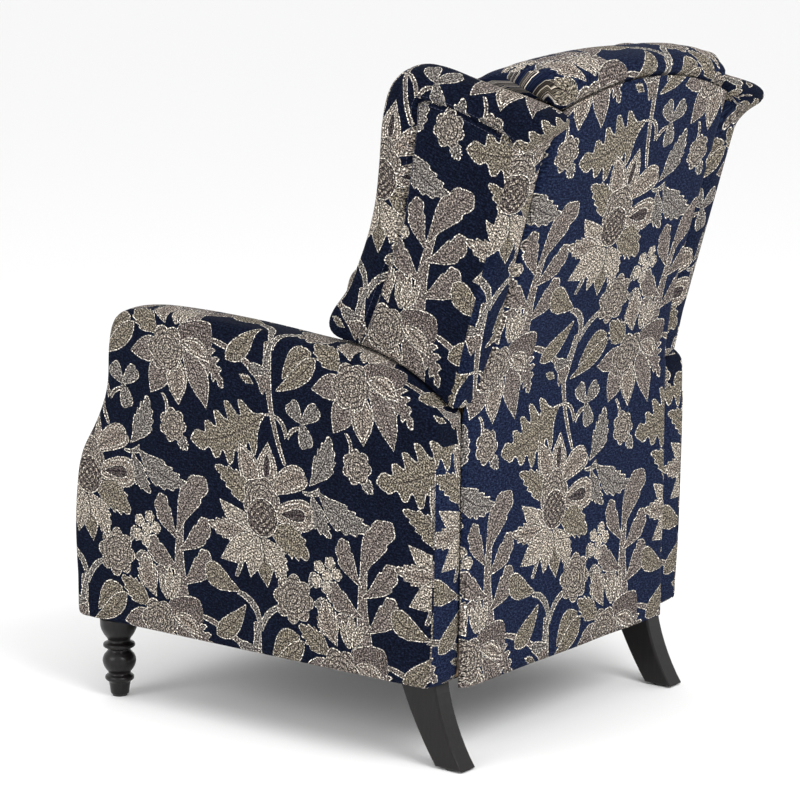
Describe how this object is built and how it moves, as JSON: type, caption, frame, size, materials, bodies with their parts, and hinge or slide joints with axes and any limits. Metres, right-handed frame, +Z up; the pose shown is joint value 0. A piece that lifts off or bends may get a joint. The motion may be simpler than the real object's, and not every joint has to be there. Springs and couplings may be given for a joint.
{
  "type": "recliner armchair",
  "caption": "Push-back wing recliner in floral jacquard, with black wooden legs, a reclining back, a sliding seat and a folding footrest.",
  "frame": {"origin": "on the floor, in the middle of the chair's bounding box, with the back upright and the footrest stored", "axes": "+Z up, +X to the sitter's left and across the chair's plane of symmetry, the chair faces -Y"},
  "size_m": [0.69, 0.9109, 1.0791],
  "materials": {
    "upholstery": "woven floral jacquard over foam",
    "cover_cloth": "woven floral jacquard sheet",
    "lining": "black non-woven",
    "timber": "sawn, unfinished",
    "leg_finish": "black satin lacquer",
    "mechanism_steel": "dark grey coated steel",
    "bright_steel": "zinc plated",
    "glide_plastic": "moulded nylon"
  },
  "bodies": {
    "base": {"arm_left": "upholstery", "arm_panel_left": "timber", "arm_panel_right": "timber", "arm_right": "upholstery", "dust_cover": "lining", "front_cross_rail": "timber", "front_glide_left": "glide_plastic", "front_glide_right": "glide_plastic", "front_leg_block_left": "timber", "front_leg_block_right": "timber", "front_leg_left": "leg_finish", "front_leg_right": "leg_finish", "mechanism_cross_tube": "mechanism_steel", "mechanism_plate_left": "mechanism_steel", "mechanism_plate_right": "mechanism_steel", "rear_cross_rail": "timber", "rear_glide_left": "glide_plastic", "rear_glide_right": "glide_plastic", "rear_leg_block_left": "timber", "rear_leg_block_right": "timber", "rear_leg_left": "leg_finish", "rear_leg_right": "leg_finish", "rear_skirt": "cover_cloth", "recline_pin_left": "bright_steel", "recline_pin_right": "bright_steel", "side_rail_left": "timber", "side_rail_right": "timber"},
    "backrest": {"back_bottom_rail": "timber", "back_bracket_left": "mechanism_steel", "back_bracket_right": "mechanism_steel", "back_cushion": "upholstery", "back_middle_rail": "timber", "back_post_left": "timber", "back_post_right": "timber", "back_springs": "bright_steel", "back_top_rail": "timber", "crest_pad": "upholstery", "outside_back_panel": "cover_cloth", "wing_left": "upholstery", "wing_panel_left": "timber", "wing_panel_right": "timber", "wing_right": "upholstery"},
    "seat": {"seat_cushion": "upholstery", "seat_front_rail": "timber", "seat_rear_rail": "timber", "seat_side_rail_left": "timber", "seat_side_rail_right": "timber", "seat_slide_plate_left": "mechanism_steel", "seat_slide_plate_right": "mechanism_steel", "seat_springs": "bright_steel"},
    "rear_links": {"footrest_rear_link_left": "mechanism_steel", "footrest_rear_link_right": "mechanism_steel"},
    "front_links": {"footrest_front_link_left": "mechanism_steel", "footrest_front_link_right": "mechanism_steel"},
    "footrest": {"footrest_board": "timber", "footrest_bracket_left": "mechanism_steel", "footrest_bracket_right": "mechanism_steel", "footrest_pad": "upholstery"}
  },
  "joints": [
    {"name": "back_recline", "type": "hinge", "parent": "base", "child": "backrest", "pos_m": [0, 0.043, 0.275], "axis": [-1, 0, 0], "range_deg": [0, 33], "deforming": ["rear_skirt"]},
    {"name": "seat_slide", "type": "slide", "parent": "base", "child": "seat", "axis": [0, -1, 0], "range_m": [0, 0.06]},
    {"name": "rear_link_swing", "type": "hinge", "parent": "seat", "child": "rear_links", "pos_m": [0, -0.28, 0.338], "axis": [-1, 0, 0], "range_deg": [0, 109.2]},
    {"name": "front_link_swing", "type": "hinge", "parent": "rear_links", "child": "front_links", "pos_m": [0, -0.21213, 0.18213], "axis": [1, 0, 0], "range_deg": [0, 112.3]},
    {"name": "footrest_tilt", "type": "hinge", "parent": "front_links", "child": "footrest", "pos_m": [0, -0.368, 0.25], "axis": [-1, 0, 0], "range_deg": [0, 89.3]}
  ],
  "couplings": [
    {"joint": "seat_slide", "follows": "back_recline", "m_per_rad": 0.104},
    {"joint": "rear_link_swing", "follows": "back_recline", "ratio": 3.305},
    {"joint": "front_link_swing", "follows": "back_recline", "ratio": 3.398},
    {"joint": "footrest_tilt", "follows": "back_recline", "ratio": 2.7}
  ]
}
